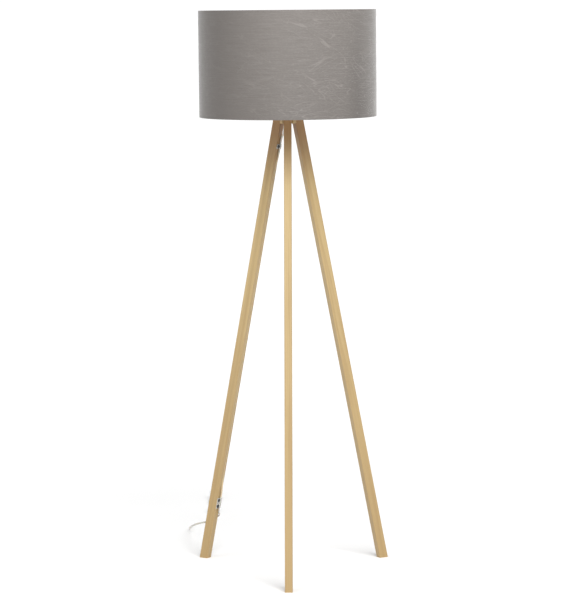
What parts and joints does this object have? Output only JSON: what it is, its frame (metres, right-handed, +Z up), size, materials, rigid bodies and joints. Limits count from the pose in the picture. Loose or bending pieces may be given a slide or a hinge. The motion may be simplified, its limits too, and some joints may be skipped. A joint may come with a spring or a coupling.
{
  "type": "tripod floor lamp",
  "caption": "Floor lamp with a splayed wooden tripod, a fabric drum shade, a screw lampholder and a clear supply lead with rocker switch and flat plug.",
  "frame": {"origin": "on the floor, under the middle of the lamp's outline seen from above, without its free lead", "axes": "+Z up the lamp's axis; -Y towards the front leg; +X to the right seen from the front"},
  "size_m": [0.5747, 1.3088, 1.5],
  "materials": {
    "leg_wood": "clear matt lacquer",
    "hub_wood": "clear matt lacquer",
    "dowel_wood": "plain",
    "zinc_steel": "zinc plated",
    "brass": "bright",
    "holder_plastic": "fine matt",
    "ceramic_white": "matt",
    "core_insulation": "smooth",
    "white_steel": "semi-gloss",
    "shade_lining": "satin",
    "shade_fabric": "crushed, silky weave",
    "clear_plastic": "clear",
    "black_steel": "black oxide",
    "clear_sheath": "clear soft sheath",
    "tie_plastic": "matt",
    "switch_plastic": "fine matt",
    "plug_plastic": "fine matt",
    "nickel_pins": "nickel plated",
    "sleeve_plastic": "smooth"
  },
  "bodies": {
    "lamp": {"leg_front": "leg_wood", "leg_left": "leg_wood", "leg_right": "leg_wood", "hub_block": "hub_wood", "leg_bolts": "zinc_steel", "hub_inserts": "brass", "leg_dowels": "dowel_wood", "threaded_tube": "zinc_steel", "hub_washer": "zinc_steel", "lock_nut": "zinc_steel", "holder_cap": "holder_plastic", "holder_skirt": "holder_plastic", "contact_block": "ceramic_white", "centre_contact": "brass", "side_contact": "brass", "terminal_screws": "brass", "lead_cores": "core_insulation", "shade_nut_lower": "holder_plastic", "shade_nut_upper": "holder_plastic", "shade_top_ring": "white_steel", "shade_bottom_ring": "white_steel", "shade_arms": "white_steel", "shade_fitter": "white_steel", "shade_liner": "shade_lining", "shade_cover": "shade_fabric", "cord_clip_upper": "clear_plastic", "cord_clip_lower": "clear_plastic", "clip_screws": "black_steel", "leg_cord": "clear_sheath", "cord_to_switch": "clear_sheath", "cord_to_hank": "clear_sheath", "cord_to_plug": "clear_sheath", "cord_hank": "clear_sheath", "hank_tie": "tie_plastic", "switch_tray": "switch_plastic", "switch_cover": "switch_plastic", "switch_screws": "zinc_steel", "switch_contacts": "brass", "switch_reliefs": "clear_plastic", "plug_body": "plug_plastic", "plug_pins": "nickel_pins", "plug_relief": "plug_plastic", "pin_sleeves": "sleeve_plastic"},
    "rocker": {"switch_rocker": "switch_plastic"}
  },
  "joints": [
    {"name": "rocker_tilt", "type": "hinge", "parent": "lamp", "child": "rocker", "pos_m": [-0.2615, 0.79789, 0.0075], "axis": [1, 0, 0], "range_deg": [0, 14]}
  ]
}
